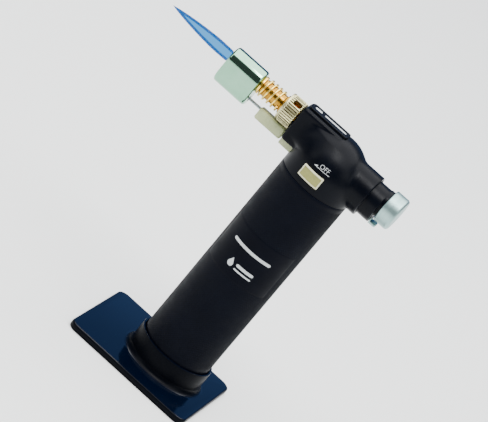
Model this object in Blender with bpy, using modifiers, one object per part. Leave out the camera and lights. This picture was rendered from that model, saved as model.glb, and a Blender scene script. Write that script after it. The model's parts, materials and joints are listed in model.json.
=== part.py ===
"""Handheld butane torch on its plug-in stand.

Metres, +Z up. The origin is on the stand's underside, on the axis of the handle.
The burner points along -X, the igniter button along +X, and the gas lever's thumb
pad is on the -Y side.
"""
from math import cos, sin, pi, radians

import bpy
import bmesh
from mathutils import Matrix, Vector

MM = 0.001
GAP = 0.0003                    # clearance between neighbouring pieces

# Driving dimensions, in millimetres
HANDLE_R = 19.0                 # outside radius of the grip and the head's skirt
GRIP_IN_R = 17.4
GRIP_BOTTOM, GRIP_TOP = 8.0, 124.6
SKIRT_TOP = 133.2               # centre height of the domed top
HEAD_TOP = 151.6                # flat top of the front block
BLOCK_FRONT = -26.0             # front face of the front block
BLOCK_HALF = 7.8                # half width of the front block
WALL = 1.7

PLATE_X0, PLATE_X1 = -43.6, 29.0
PLATE_HALF = 36.6
PLATE_T = 3.2
PLATE_CORNER = 5.0
COLLAR_R, COLLAR_BORE, COLLAR_TOP = 20.6, 19.3, 15.5

BURNER_Z = 143.0                # burner axis
RING_X = -30.55                 # middle of the air ring
ROD_Z = 133.7                   # electrode axis
GUARD_X0, GUARD_X1 = -69.2, -49.9
GUARD_R = 6.6
GUARD_LOW_Z = 135.9             # centre of the guard's lower round end
BARREL_Z = 137.1                # rear barrel axis
BARREL_R = 11.3
CAP_Z = 139.5                   # the cap sits a little above the plunger's axis

AIR_TURN = radians(53)          # the air window's height above horizontal on the -Y side
PAD_CENTRE = radians(-4.2)      # middle of the thumb pad, measured from -Y towards +X
PAD_HALF = radians(17.3)

# Start from an empty scene
for old in list(bpy.data.objects):
    bpy.data.objects.remove(old, do_unlink=True)

PART = bpy.data.collections.new("butane_torch")
CUTTERS = bpy.data.collections.new("cutters")
bpy.context.scene.collection.children.link(PART)
bpy.context.scene.collection.children.link(CUTTERS)


# ---------------------------------------------------------------- helpers

def material(name, colour, roughness=0.5, metallic=0.0):
    """A Principled material, one for each piece."""
    mat = bpy.data.materials.new(name)
    mat.use_nodes = True
    shader = mat.node_tree.nodes["Principled BSDF"]
    shader.inputs["Base Color"].default_value = (*colour, 1.0)
    shader.inputs["Roughness"].default_value = roughness
    shader.inputs["Metallic"].default_value = metallic
    return mat


BLACK = ((0.012, 0.014, 0.018), 0.25, 0.0)
GRIP = ((0.02, 0.022, 0.027), 0.55, 0.0)
NAVY = ((0.005, 0.012, 0.035), 0.15, 0.0)
CHROME = ((0.62, 0.68, 0.64), 0.12, 1.0)
NICKEL = ((0.72, 0.68, 0.58), 0.28, 1.0)
BRASS = ((0.80, 0.58, 0.22), 0.25, 1.0)
IVORY = ((0.76, 0.74, 0.60), 0.4, 0.0)
CREAM = ((0.78, 0.70, 0.48), 0.45, 0.0)
SATIN = ((0.80, 0.80, 0.78), 0.3, 1.0)
STEEL = ((0.55, 0.56, 0.58), 0.3, 1.0)
WHITE = ((0.85, 0.85, 0.82), 0.6, 0.0)
RUBBER = ((0.02, 0.02, 0.02), 0.8, 0.0)
RED = ((0.45, 0.03, 0.02), 0.5, 0.0)


def empty(name, at=(0.0, 0.0, 0.0), parent=None):
    """A joint's axis or a group, placed in millimetres."""
    obj = bpy.data.objects.new(name, None)
    obj.empty_display_size = 0.005
    PART.objects.link(obj)
    place(obj, at, (0, 0, 0), parent)
    return obj


def place(obj, at, turn, parent):
    world = Matrix.Translation(Vector(at) * MM)
    for angle, axis in zip(turn, "XYZ"):
        if angle:
            world = world @ Matrix.Rotation(angle, 4, axis)
    obj.parent = parent
    if parent is not None:
        obj.matrix_parent_inverse = Matrix.Identity(4)
        base = parent
        chain = Matrix.Identity(4)
        while base is not None:
            chain = base.matrix_basis @ chain
            base = base.parent
        world = chain.inverted() @ world
    obj.matrix_basis = world


def add(name, data, look=None, at=(0, 0, 0), turn=(0, 0, 0), parent=None):
    """Link a new object: a piece if it has a look, a cutter if it has none."""
    obj = bpy.data.objects.new(name, data)
    if look is None:
        CUTTERS.objects.link(obj)
        obj.hide_render = True
        obj.display_type = 'WIRE'
    else:
        PART.objects.link(obj)
        data.materials.append(material(name, *look))
    place(obj, at, turn, parent)
    return obj


def lathe(name, profile, look=None, at=(0, 0, 0), turn=(0, 0, 0), parent=None, steps=48,
          ring=True):
    """Turn (radius, height) points about local Z. A ring's points close on themselves."""
    bm = bmesh.new()
    verts = [bm.verts.new((r * MM, 0.0, z * MM)) for r, z in profile]
    for a, b in zip(verts, verts[1:]):
        bm.edges.new((a, b))
    if ring:
        bm.edges.new((verts[-1], verts[0]))
    mesh = bpy.data.meshes.new(name)
    bm.to_mesh(mesh)
    bm.free()
    obj = add(name, mesh, look, at, turn, parent)
    screw = obj.modifiers.new("Turn", 'SCREW')
    screw.axis = 'Z'
    screw.steps = steps
    screw.render_steps = steps
    screw.use_merge_vertices = True
    screw.merge_threshold = 0.00001
    screw.use_smooth_shade = False
    return obj


def disc_profile(r_low, r_high, z_low, z_high, bore=0.0):
    """Cylinder, cone or tube section as a lathe profile, outer side downwards."""
    if bore:
        return [(r_high, z_high), (r_low, z_low), (bore, z_low), (bore, z_high)]
    return [(0, z_high), (r_high, z_high), (r_low, z_low), (0, z_low)]


def box(name, low, high, look=None, parent=None, bevel=0.0, segments=2):
    """Box between two corners in world millimetres; its origin is its middle."""
    size = [h - l for l, h in zip(low, high)]
    middle = [(h + l) / 2 for l, h in zip(low, high)]
    bm = bmesh.new()
    bmesh.ops.create_cube(bm, size=1.0)
    bmesh.ops.scale(bm, vec=Vector(size) * MM, verts=bm.verts)
    mesh = bpy.data.meshes.new(name)
    bm.to_mesh(mesh)
    bm.free()
    obj = add(name, mesh, look, middle, (0, 0, 0), parent)
    if bevel:
        soften(obj, bevel, segments)
    return obj


def soften(obj, width, segments=2, angle=30.0):
    mod = obj.modifiers.new("Soften", 'BEVEL')
    mod.width = width * MM
    mod.segments = segments
    mod.limit_method = 'ANGLE'
    mod.angle_limit = radians(angle)
    return mod


def outline(name, points, thickness, look=None, at=(0, 0, 0), turn=(0, 0, 0), parent=None,
            round_r=0.0, steps=6):
    """Flat outline in local XY extruded by a thickness, centred on local Z, as a mesh."""
    curve = bpy.data.curves.new(name, 'CURVE')
    curve.dimensions = '2D'
    curve.fill_mode = 'BOTH'
    curve.extrude = thickness * MM / 2
    if round_r:
        points = rounded(points, round_r, steps)
    spline = curve.splines.new('POLY')
    spline.points.add(len(points) - 1)
    for knot, (x, y) in zip(spline.points, points):
        knot.co = (x * MM, y * MM, 0.0, 1.0)
    spline.use_cyclic_u = True
    return as_mesh(curve, name, look, at, turn, parent)


def rounded(points, radius, steps):
    """Replace each corner of a convex outline with an arc."""
    out = []
    count = len(points)
    for i in range(count):
        p = Vector(points[i])
        back = (Vector(points[i - 1]) - p).normalized()
        ahead = (Vector(points[(i + 1) % count]) - p).normalized()
        half = back.angle(ahead) / 2
        reach = radius / sin(half)
        centre = p + (back + ahead).normalized() * reach
        start = p + back * (radius / (sin(half) / cos(half))) - centre
        end = p + ahead * (radius / (sin(half) / cos(half))) - centre
        swing = start.angle_signed(end)
        for k in range(steps + 1):
            v = start.copy()
            v.rotate(Matrix.Rotation(-swing * k / steps, 2))
            out.append(tuple(centre + v))
    return out


def as_mesh(curve, name, look, at, turn, parent):
    """Evaluate a curve once and keep it as a welded mesh object."""
    temp = bpy.data.objects.new(name + "_curve", curve)
    PART.objects.link(temp)
    graph = bpy.context.evaluated_depsgraph_get()
    mesh = bpy.data.meshes.new_from_object(temp.evaluated_get(graph))
    bpy.data.objects.remove(temp, do_unlink=True)
    bm = bmesh.new()
    bm.from_mesh(mesh)
    bmesh.ops.remove_doubles(bm, verts=bm.verts, dist=0.000005)
    bmesh.ops.recalc_face_normals(bm, faces=bm.faces)
    bm.to_mesh(mesh)
    bm.free()
    mesh.name = name
    return add(name, mesh, look, at, turn, parent)


def wire(name, points, radius, look, parent=None, resolution=2):
    """Round wire or pipe through world points in millimetres, with filled ends."""
    curve = bpy.data.curves.new(name, 'CURVE')
    curve.dimensions = '3D'
    curve.bevel_depth = radius * MM
    curve.bevel_resolution = resolution
    curve.use_fill_caps = True
    spline = curve.splines.new('POLY')
    spline.points.add(len(points) - 1)
    for knot, p in zip(spline.points, points):
        knot.co = (*(Vector(p) * MM), 1.0)
    return as_mesh(curve, name, look, (0, 0, 0), (0, 0, 0), parent)


def bend(points, radius, steps=5):
    """Round the inner corners of an open 3-D path."""
    out = [Vector(points[0])]
    for a, p, b in zip(points, points[1:], points[2:]):
        a, p, b = Vector(a), Vector(p), Vector(b)
        back, ahead = (a - p).normalized(), (b - p).normalized()
        for k in range(steps + 1):
            t = k / steps
            start, end = p + back * radius, p + ahead * radius
            out.append(start.lerp(p, t).lerp(p.lerp(end, t), t))
    out.append(Vector(points[-1]))
    return out


def helix(start, pitch, turns, radius, per_turn, axis, centre, phase=0.0):
    """Points of a coil about a world axis, 'X+' or 'X-'."""
    direction = 1.0 if axis == 'X+' else -1.0
    count = int(round(turns * per_turn))
    return [(start + direction * pitch * i / per_turn,
             centre[0] + radius * cos(phase + 2 * pi * i / per_turn),
             centre[1] + radius * sin(phase + 2 * pi * i / per_turn))
            for i in range(count + 1)]


def cut(obj, cutter, operation='DIFFERENCE'):
    mod = obj.modifiers.new(operation.title(), 'BOOLEAN')
    mod.operation = operation
    mod.solver = 'EXACT'
    mod.object = cutter
    return mod


def sector(name, r_in, r_out, z0, z1, middle, half, look=None, parent=None, steps=10, at=(0, 0, 0)):
    """Arc-shaped block about the handle axis; angles run from -Y towards +X."""
    angles = [middle - half + 2 * half * i / steps for i in range(steps + 1)]
    points = [(r_out * sin(a), -r_out * cos(a)) for a in angles]
    points += [(r_in * sin(a), -r_in * cos(a)) for a in reversed(angles)]
    points = [(x - at[0], y - at[1]) for x, y in points]
    return outline(name, points, z1 - z0, look, (at[0], at[1], (z0 + z1) / 2), (0, 0, 0), parent)


TO_BURNER = (0, -pi / 2, 0)     # local +Z becomes world -X
TO_BUTTON = (0, pi / 2, 0)      # local +Z becomes world +X

# ---------------------------------------------------------------- joint axes

stand = empty("stand")
torch = empty("torch_lift_axis", (0, 0, 3.5), stand)
lever_axis = empty("gas_lever_axis", (0, 0, 132.5), torch)
ring_axis = empty("air_ring_axis", (RING_X, 0, BURNER_Z), torch)
button_axis = empty("igniter_axis", (24.0, 0, BARREL_Z), torch)
catch_axis = empty("safety_catch_axis", (33.6, 0, 129.5), button_axis)
valve_axis = empty("fill_valve_axis", (0, 0, 6.0), torch)

# ---------------------------------------------------------------- stand

plate_outline = [(PLATE_X0, -PLATE_HALF), (PLATE_X1, -PLATE_HALF),
                 (PLATE_X1, PLATE_HALF), (PLATE_X0, PLATE_HALF)]
base = outline("stand_base", plate_outline, PLATE_T, NAVY, (0, 0, PLATE_T / 2), parent=stand,
               round_r=PLATE_CORNER)
soften(base, 0.5, 2)
foot = [(COLLAR_R - 0.3, COLLAR_TOP), (COLLAR_R, COLLAR_TOP - 0.4), (COLLAR_R, 6.2)]
foot += [(COLLAR_R + 3.0 - 3.0 * cos(a), 6.2 - 3.0 * sin(a)) for a in (0.35, 0.75, 1.15, 1.5)]
foot += [(COLLAR_R + 3.0, 2.6), (COLLAR_BORE, 2.6), (COLLAR_BORE, COLLAR_TOP - 0.5),
         (COLLAR_BORE + 0.4, COLLAR_TOP)]
cut(base, lathe("cut_collar", foot, steps=48), 'UNION')

# ---------------------------------------------------------------- handle and tank

lathe("grip_sleeve",
      [(HANDLE_R, GRIP_TOP), (HANDLE_R, GRIP_BOTTOM + 0.6), (HANDLE_R - 0.6, GRIP_BOTTOM),
       (GRIP_IN_R, GRIP_BOTTOM), (GRIP_IN_R, GRIP_TOP)], GRIP, parent=torch, steps=48)

lathe("fuel_tank",
      [(3.5, 104.0), (12.0, 104.0), (16.2, 102.0), (17.0, 98.0), (17.0, 8.5), (15.7, 8.5),
       (15.7, 97.4), (14.9, 100.8), (11.6, 102.6), (3.5, 102.6)], STEEL, parent=torch, steps=32)

groove = [(15.3, 7.7), (15.3, 9.4), (14.1, 9.4), (14.1, 11.4), (15.3, 11.4)]
lathe("tank_base_plug",
      [(15.0, 13.0)] + groove[::-1] + [(18.9, 7.7), (18.9, 4.3), (18.1, 3.5), (6.0, 3.5), (6.0, 4.6),
       (3.25, 4.6), (3.25, 9.5), (12.5, 9.5), (12.5, 13.0)], BLACK, parent=torch, steps=32)

lathe("tank_seal_ring",
      [(14.9 + 0.55 * cos(a), 10.4 - 0.55 * sin(a)) for a in
       [-pi / 2 + 2 * pi * i / 6 for i in range(6)]], RUBBER, parent=torch, steps=32)

lathe("fill_valve_body",
      [(2.2, 14.5), (2.9, 14.0), (2.9, 4.9), (1.3, 4.9), (1.3, 8.0), (1.9, 8.6), (1.9, 13.5),
       (0.9, 13.6), (0.9, 14.5)], BRASS, parent=torch, steps=16)
lathe("fill_valve_stem",
      [(0, 12.0), (1.5, 12.0), (1.5, 9.0), (1.0, 8.2), (1.0, 4.2), (0.7, 3.9), (0, 3.9)],
      BRASS, (0, 0, 0), parent=valve_axis, steps=16, ring=False)
lathe("valve_filter",
      [(2.6, 20.5), (2.6, 14.9), (0.8, 14.9), (0.8, 20.5)], WHITE, parent=torch, steps=16)

# ---------------------------------------------------------------- gas valve and lever

lathe("regulator_column",
      [(0, 133.1), (3.0, 133.1), (3.6, 132.7), (3.6, 118.0), (9.0, 118.0), (10.2, 116.8), (10.2, 104.3),
       (3.2, 104.3), (3.2, 99.5), (0, 99.5)], BRASS, parent=torch, steps=24, ring=False)
PIPE_X = -6.9
wire("gas_pipe",
     bend([(PIPE_X, 0, 118.3), (PIPE_X, 0, BURNER_Z), (-13.2, 0, BURNER_Z)], 2.6), 0.8, STEEL, torch)

lever = lathe("gas_lever", disc_profile(5.6, 5.6, -2.9, 0.5, 3.9), CREAM,
              parent=lever_axis, at=(0, 0, 132.5), steps=32)
cut(lever, sector("cut_lever_arc", 14.6, 16.6, 129.8, 132.8, radians(-48), radians(56), steps=14), 'UNION')
for angle in (radians(-48), radians(-4)):
    along = Vector((sin(angle), -cos(angle)))
    side = Vector((along.y, -along.x)) * 1.8
    corners = [along * 5.0 + side, along * 15.2 + side, along * 15.2 - side, along * 5.0 - side]
    cut(lever, outline("cut_spoke", [tuple(c) for c in corners], 2.8, at=(0, 0, 131.4)), 'UNION')
cut(lever, sector("cut_pad_neck", 16.0, 19.7, 130.0, 133.0, PAD_CENTRE, radians(4), steps=4), 'UNION')
pad = sector("cut_pad", HANDLE_R + GAP / MM, HANDLE_R + 1.4, 128.5, 134.8, PAD_CENTRE, PAD_HALF, steps=8)
soften(pad, 0.4, 2)
cut(lever, pad, 'UNION')
tab = outline("cut_tab", [(-25.9, -2.4), (-15.4, -3.0), (-15.4, 3.0), (-25.9, 2.4)], 3.7, at=(0, 0, 129.45))
soften(tab, 0.5, 2)
cut(lever, tab, 'UNION')

# ---------------------------------------------------------------- head shells

def head_shell(name, side):
    """Half of the head, on the -Y (side -1) or the +Y (side +1) side of the parting plane."""
    dome = [(HANDLE_R * sin(a), SKIRT_TOP + HANDLE_R * cos(a)) for a in
            [pi / 2 * i / 11 for i in range(12)]]
    shell = lathe(name, dome + [(HANDLE_R, 124.9), (17.1, 124.9), (17.1, 119.0), (0, 119.0)],
                  BLACK, parent=torch, steps=48, ring=False)
    block = box("cut_block", (BLOCK_FRONT, -BLOCK_HALF, 131.8), (-2.0, BLOCK_HALF, HEAD_TOP))
    soften(block, 1.8, 3)
    cut(shell, block, 'UNION')
    inner = [((HANDLE_R - WALL) * sin(a), SKIRT_TOP + (HANDLE_R - WALL) * cos(a)) for a in
             [pi / 2 * i / 7 for i in range(8)]]
    cut(shell, lathe("cut_cavity", inner + [(17.3, 126.0), (15.6, 124.2), (15.6, 118.0), (0, 118.0)],
                     steps=32, ring=False))
    barrel = [(10.7, 23.9), (BARREL_R, 23.3), (BARREL_R, 6.0), (7.6, 6.0), (7.6, 7.8), (10.15, 7.8),
              (10.15, 22.4), (9.65, 22.4), (9.65, 23.9)]
    cut(shell, lathe("cut_barrel_bore", [(0, 26), (10.15, 26), (10.15, 7), (0, 7)],
                     at=(0, 0, BARREL_Z), turn=TO_BUTTON, steps=40, ring=False))
    cut(shell, lathe("cut_barrel", barrel, at=(0, 0, BARREL_Z), turn=TO_BUTTON, steps=40), 'UNION')
    cut(shell, lathe("cut_mixer_bore", disc_profile(4.6, 4.6, 10, 30), at=(0, 0, BURNER_Z),
                     turn=TO_BURNER, steps=24, ring=False))
    cut(shell, box("cut_label", (-24.7, -4.8, 151.3), (-1.2, 4.8, 153.5)))
    cut(shell, box("cut_insulator", (-28.0, -1.9, 132.4), (-16.4, 1.9, 135.0)))
    cut(shell, sector("cut_neck_slot", 16.9, 19.8, 129.6, 133.4, radians(-6.2), radians(13.2), steps=6))
    cut(shell, sector("cut_tab_slot", 16.9, 19.8, 127.2, 131.7, radians(-92), radians(18.5), steps=8))
    for z in (136.8, 149.2):
        cut(shell, lathe("cut_screw", [(0, 9), (1.6, 9), (1.6, 6.2), (1.1, 6.2), (1.1, -5.4), (0, -5.4)],
                         at=(-19.0, 0, z), turn=(-pi / 2, 0, 0), steps=12, ring=False))
    half = box("cut_half", (-40, 0, 100), (40, 60, 180)) if side < 0 else \
        box("cut_half", (-40, -60, 100), (40, 2 * GAP / MM / 3, 180))
    cut(shell, half)
    return shell


head_shell("head_shell_near", -1)
head_shell("head_shell_far", 1)

for name, z in (("shell_screw_lower", 136.8), ("shell_screw_upper", 149.2)):
    lathe(name, [(0, 6.9), (0.5, 6.9), (0.5, 7.2), (1.3, 7.2), (1.3, 6.5), (0.8, 6.5), (0.8, -5.0),
                 (0, -5.0)], STEEL, (-19.0, 0, z), (-pi / 2, 0, 0), torch, steps=12, ring=False)

label = outline("label_plate", [(-24.4, -4.5), (-1.5, -4.5), (-1.5, 4.5), (-24.4, 4.5)], 1.0, BLACK,
                (0, 0, 152.1), parent=torch, round_r=1.4, steps=4)
soften(label, 0.25, 2, 60)

# ---------------------------------------------------------------- igniter

lathe("button_plunger",
      [(0, 7.0), (8.95, 7.0), (9.35, 6.6), (9.35, -1.4), (9.85, -1.9), (9.85, -7.2), (7.6, -7.2), (7.6, 5.0),
       (0, 5.0)], BLACK, (24.0, 0, BARREL_Z), TO_BUTTON, button_axis, steps=40, ring=False)
core = lathe("cut_core", [(0, 14.8), (7.1, 14.8), (7.4, 14.5), (7.4, 6.4), (0, 6.4)],
             at=(24.0, 0, CAP_Z), turn=TO_BUTTON, steps=32, ring=False)
cut(bpy.data.objects["button_plunger"], core, 'UNION')
fillet = [(8.95 - 1.3 + 1.3 * cos(a), 15.3 + 1.3 * sin(a)) for a in [pi / 2 * i / 4 for i in range(5)]]
lathe("button_cap",
      [(0, 16.6)] + fillet[::-1] + [(8.95, 9.1), (8.65, 8.8), (7.7, 8.8), (7.7, 15.1), (0, 15.1)],
      SATIN, (24.0, 0, CAP_Z), TO_BUTTON, button_axis, steps=40, ring=False)
slider = box("piezo_slider", (8.4, -2.8, BARREL_Z - 2.8), (28.7, 2.8, BARREL_Z + 2.8), IVORY, button_axis)
soften(slider, 0.4, 1)
piezo = box("piezo_body", (-4.0, -3.6, BARREL_Z - 3.6), (11.5, 3.6, BARREL_Z + 3.6), IVORY, torch)
soften(piezo, 0.5, 1)
cut(piezo, box("cut_piezo", (3.0, -3.1, BARREL_Z - 3.1), (12.5, 3.1, BARREL_Z + 3.1)))
wire("button_spring", helix(8.5, 1.95, 4.0, 8.75, 10, 'X+', (0, BARREL_Z)), 0.35, STEEL, torch)

catch = box("safety_catch", (31.3, -2.6, 127.8), (31.9, 2.6, 130.9), SATIN, catch_axis)
foot_plate = box("cut_catch", (31.5, -2.6, 127.8), (35.2, 2.6, 129.4))
soften(foot_plate, 0.5, 2)
cut(catch, foot_plate, 'UNION')

# ---------------------------------------------------------------- burner

mixer = lathe("mixer_body",
              [(5.2, 35.7), (5.2, 26.8), (4.3, 26.8), (4.3, 13.8), (2.2, 13.8), (2.2, 34.0), (3.45, 34.0),
               (3.45, 35.7)], BRASS, (0, 0, BURNER_Z), TO_BURNER, torch, steps=32)
air_hole = box("cut_air", (-1.7, -1.2, 0.5), (1.7, 1.2, 9.0))
soften(air_hole, 0.6, 2, 60)
place(air_hole, (-29.45, -4.75 * cos(AIR_TURN), BURNER_Z + 4.75 * sin(AIR_TURN)),
      (pi / 2 - AIR_TURN, 0, 0), None)
cut(mixer, air_hole)

teeth = []
for i in range(40):
    for k, r in ((0.0, 7.65), (0.5, 7.65), (0.75, 7.25)):
        a = 2 * pi * (i + k) / 40
        teeth.append((r * cos(a), r * sin(a)))
ring = outline("air_ring", teeth, 8.3, NICKEL, (RING_X, 0, BURNER_Z), TO_BURNER, ring_axis)
cut(ring, lathe("cut_ring_bore", disc_profile(5.55, 5.55, -6, 6), at=(RING_X, 0, BURNER_Z), turn=TO_BURNER,
                steps=32, ring=False))
window = box("cut_window", (-2.35, -1.6, -2.5), (2.35, 1.6, 3.0))
soften(window, 1.2, 3, 60)
place(window, (-29.45, -6.5 * cos(AIR_TURN), BURNER_Z + 6.5 * sin(AIR_TURN)), (pi / 2 - AIR_TURN, 0, 0), None)
cut(ring, window)

lathe("gas_jet",
      [(0.8, 20.6), (1.5, 20.6), (1.9, 19.6), (1.9, 13.5), (0.7, 13.5), (0.7, 18.0), (0.35, 18.6),
       (0.35, 20.6)], BRASS, (0, 0, BURNER_Z), TO_BURNER, torch, steps=16)
lathe("burner_tube",
      [(3.15, 64.5), (3.15, 48.1), (4.1, 48.1), (4.1, 36.0), (3.15, 36.0), (3.15, 34.3), (2.5, 34.3),
       (2.5, 64.5)], BRASS, (0, 0, BURNER_Z), TO_BURNER, torch, steps=24)
wire("heat_coil", helix(-36.6, 2.6, 4.17, 4.87, 12, 'X-', (0, BURNER_Z), radians(200)), 0.48, BRASS, torch)
lathe("guard_nut",
      [(4.55, 49.6), (4.9, 49.3), (4.9, 48.7), (4.55, 48.4), (3.45, 48.4), (3.45, 49.6)], BRASS,
      (0, 0, BURNER_Z), TO_BURNER, torch, steps=24)
lathe("flame_holder",
      [(3.6, 66.5), (4.2, 65.9), (4.2, 58.0), (3.45, 58.0), (3.45, 64.8), (2.0, 64.8), (2.0, 66.5)],
      STEEL, (0, 0, BURNER_Z), TO_BURNER, torch, steps=24)


def racetrack(radius, low, high, steps=12):
    """Upright oblong in local XY: X is height above the burner axis, Y is sideways."""
    arc = [pi * i / steps for i in range(steps + 1)]
    top = [(high + radius * sin(a), radius * cos(a)) for a in arc]
    bottom = [(low - radius * sin(a), -radius * cos(a)) for a in arc]
    return top + bottom


DROP = GUARD_LOW_Z - BURNER_Z
guard = outline("flame_guard", racetrack(GUARD_R, DROP, 0.0), GUARD_X1 - GUARD_X0, CHROME,
                ((GUARD_X0 + GUARD_X1) / 2, 0, BURNER_Z), TO_BURNER, torch)
soften(guard, 1.2, 2, 60)
cut(guard, outline("cut_guard", racetrack(GUARD_R - 0.8, DROP, 0.0), 26.0, at=(-64.1, 0, BURNER_Z),
                   turn=TO_BURNER))
cut(guard, lathe("cut_guard_tube", disc_profile(3.45, 3.45, 48, 54), at=(0, 0, BURNER_Z), turn=TO_BURNER,
                 steps=24, ring=False))
cut(guard, lathe("cut_guard_rod", disc_profile(1.7, 1.7, 48, 54), at=(0, 0, ROD_Z), turn=TO_BURNER,
                 steps=20, ring=False))

insulator = box("electrode_insulator", (-42.6, -2.5, 128.7), (-26.4, 2.5, 135.0), IVORY, torch)
soften(insulator, 1.1, 2)
cut(insulator, box("cut_tail", (-28.0, -1.6, 132.7), (-20.5, 1.6, 134.7)), 'UNION')
cut(insulator, lathe("cut_rod_bore", disc_profile(1.0, 1.0, 18, 46), at=(0, 0, ROD_Z), turn=TO_BURNER,
                     steps=16, ring=False))
wire("electrode_rod",
     bend([(-20.2, 0, ROD_Z), (-60.5, 0, ROD_Z), (-64.8, 0, 137.4), (-66.2, 0, 137.4)], 1.2, 3), 0.7, STEEL,
     torch)
wire("igniter_lead",
     bend([(-4.4, 0, 137.0), (-5.2, 3.0, 137.0), (-10.0, 3.2, 136.8), (-14.0, 1.6, 134.8),
           (-16.8, 0, ROD_Z), (-19.9, 0, ROD_Z)], 1.0, 3), 0.5, RED, torch)
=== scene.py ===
"""Looks of the butane torch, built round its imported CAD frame. Metres, +Z up."""
import json
from math import cos, sin, pi, radians, sqrt, atan2, hypot

import bpy
import bmesh
import numpy as np
from mathutils import Matrix, Vector

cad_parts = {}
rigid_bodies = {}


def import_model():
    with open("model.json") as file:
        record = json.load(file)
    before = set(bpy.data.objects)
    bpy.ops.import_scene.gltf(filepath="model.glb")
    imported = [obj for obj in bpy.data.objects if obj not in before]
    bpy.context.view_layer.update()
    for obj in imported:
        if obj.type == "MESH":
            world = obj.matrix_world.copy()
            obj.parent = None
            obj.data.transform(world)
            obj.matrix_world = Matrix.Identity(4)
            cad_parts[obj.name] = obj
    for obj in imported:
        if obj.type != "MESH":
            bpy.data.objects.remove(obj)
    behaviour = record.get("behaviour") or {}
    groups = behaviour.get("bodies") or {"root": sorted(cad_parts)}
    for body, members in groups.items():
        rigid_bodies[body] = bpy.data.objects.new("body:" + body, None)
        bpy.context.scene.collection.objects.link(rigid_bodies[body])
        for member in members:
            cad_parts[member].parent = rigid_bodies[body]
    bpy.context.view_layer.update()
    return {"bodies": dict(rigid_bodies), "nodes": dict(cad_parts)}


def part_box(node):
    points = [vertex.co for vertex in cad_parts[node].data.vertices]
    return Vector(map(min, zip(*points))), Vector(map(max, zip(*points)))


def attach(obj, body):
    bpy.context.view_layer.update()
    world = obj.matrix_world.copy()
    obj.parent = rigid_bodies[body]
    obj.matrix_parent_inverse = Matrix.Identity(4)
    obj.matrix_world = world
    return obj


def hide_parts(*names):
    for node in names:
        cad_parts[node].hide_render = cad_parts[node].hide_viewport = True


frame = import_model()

MM = 0.001

# Main dimensions in millimetres, the same as the CAD's
HANDLE_R, GRIP_BOTTOM, GRIP_TOP = 19.0, 8.0, 124.6
SKIRT_TOP, HEAD_TOP = 133.2, 151.6
BURNER_Z, BARREL_Z, CAP_Z = 143.0, 137.1, 139.5
BURNER_AXIS = (0, 0, BURNER_Z)
BARREL_AXIS = (0, 0, BARREL_Z)
CAP_AXIS = (0, 0, CAP_Z)
GUARD_X0, GUARD_X1, GUARD_R, GUARD_LOW_Z = -69.2, -49.9, 6.6, 135.9
ROD_Z = 133.7
PAD_CENTRE = radians(-4.2)
AIR_TURN = radians(53)
BARREL_R = 11.3


# ---------------------------------------------------------------- mesh helpers

def mesh_object(name, verts, faces):
    """A mesh object from points in millimetres, with its faces turned outwards."""
    mesh = bpy.data.meshes.new(name)
    mesh.from_pydata([tuple(c * MM for c in v) for v in verts], [], faces)
    tidy(mesh)
    obj = bpy.data.objects.new(name, mesh)
    bpy.context.scene.collection.objects.link(obj)
    return obj


def tidy(mesh, weld=0.0):
    bm = bmesh.new()
    bm.from_mesh(mesh)
    if weld:
        bmesh.ops.remove_doubles(bm, verts=bm.verts, dist=weld)
    bmesh.ops.recalc_face_normals(bm, faces=bm.faces)
    bm.to_mesh(mesh)
    bm.free()


def fillet(points, radius, seg=5, closed=True):
    """Round the corners of a profile. Radius is one number, or one for each corner."""
    count = len(points)
    radii = radius if isinstance(radius, (list, tuple)) else [radius] * count
    out = []
    for i, p in enumerate(points):
        r = radii[i]
        if r <= 0 or (not closed and i in (0, count - 1)):
            out.append(tuple(p))
            continue
        p = Vector(p)
        back, ahead = Vector(points[i - 1]) - p, Vector(points[(i + 1) % count]) - p
        lb, la = back.length, ahead.length
        back.normalize()
        ahead.normalize()
        half = back.angle(ahead) / 2
        if half > radians(88):
            out.append(tuple(p))
            continue
        reach = min(r / (sin(half) / cos(half)), 0.49 * lb, 0.49 * la)
        true_r = reach * sin(half) / cos(half)
        centre = p + (back + ahead).normalized() * (true_r / sin(half))
        a, b = p + back * reach - centre, p + ahead * reach - centre
        a0, a1 = atan2(a.y, a.x), atan2(b.y, b.x)
        swing = (a1 - a0 + pi) % (2 * pi) - pi
        for k in range(seg + 1):
            t = a0 + swing * k / seg
            out.append((centre.x + true_r * cos(t), centre.y + true_r * sin(t)))
    return out


def revolve(name, profile, axis='Z', centre=(0, 0, 0), steps=96, closed=True):
    """Turn (radius, place along the axis) points about world Z or X through a centre."""
    verts, rings = [], []
    for r, a in profile:
        if r < 1e-6:
            rings.append([len(verts)])
            verts.append((0.0, 0.0, a))
            continue
        rings.append(list(range(len(verts), len(verts) + steps)))
        for k in range(steps):
            t = 2 * pi * k / steps
            verts.append((r * cos(t), r * sin(t), a))
    faces = []
    pairs = list(zip(rings, rings[1:])) + ([(rings[-1], rings[0])] if closed else [])
    for a, b in pairs:
        if len(a) == 1 and len(b) == 1:
            continue
        for k in range(steps):
            n = (k + 1) % steps
            if len(a) == 1:
                faces.append((a[0], b[k], b[n]))
            elif len(b) == 1:
                faces.append((a[k], a[n], b[0]))
            else:
                faces.append((a[k], a[n], b[n], b[k]))
    if axis == 'X':
        verts = [(a, x, y) for x, y, a in verts]
    verts = [(x + centre[0], y + centre[1], z + centre[2]) for x, y, z in verts]
    return mesh_object(name, verts, faces)


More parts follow.
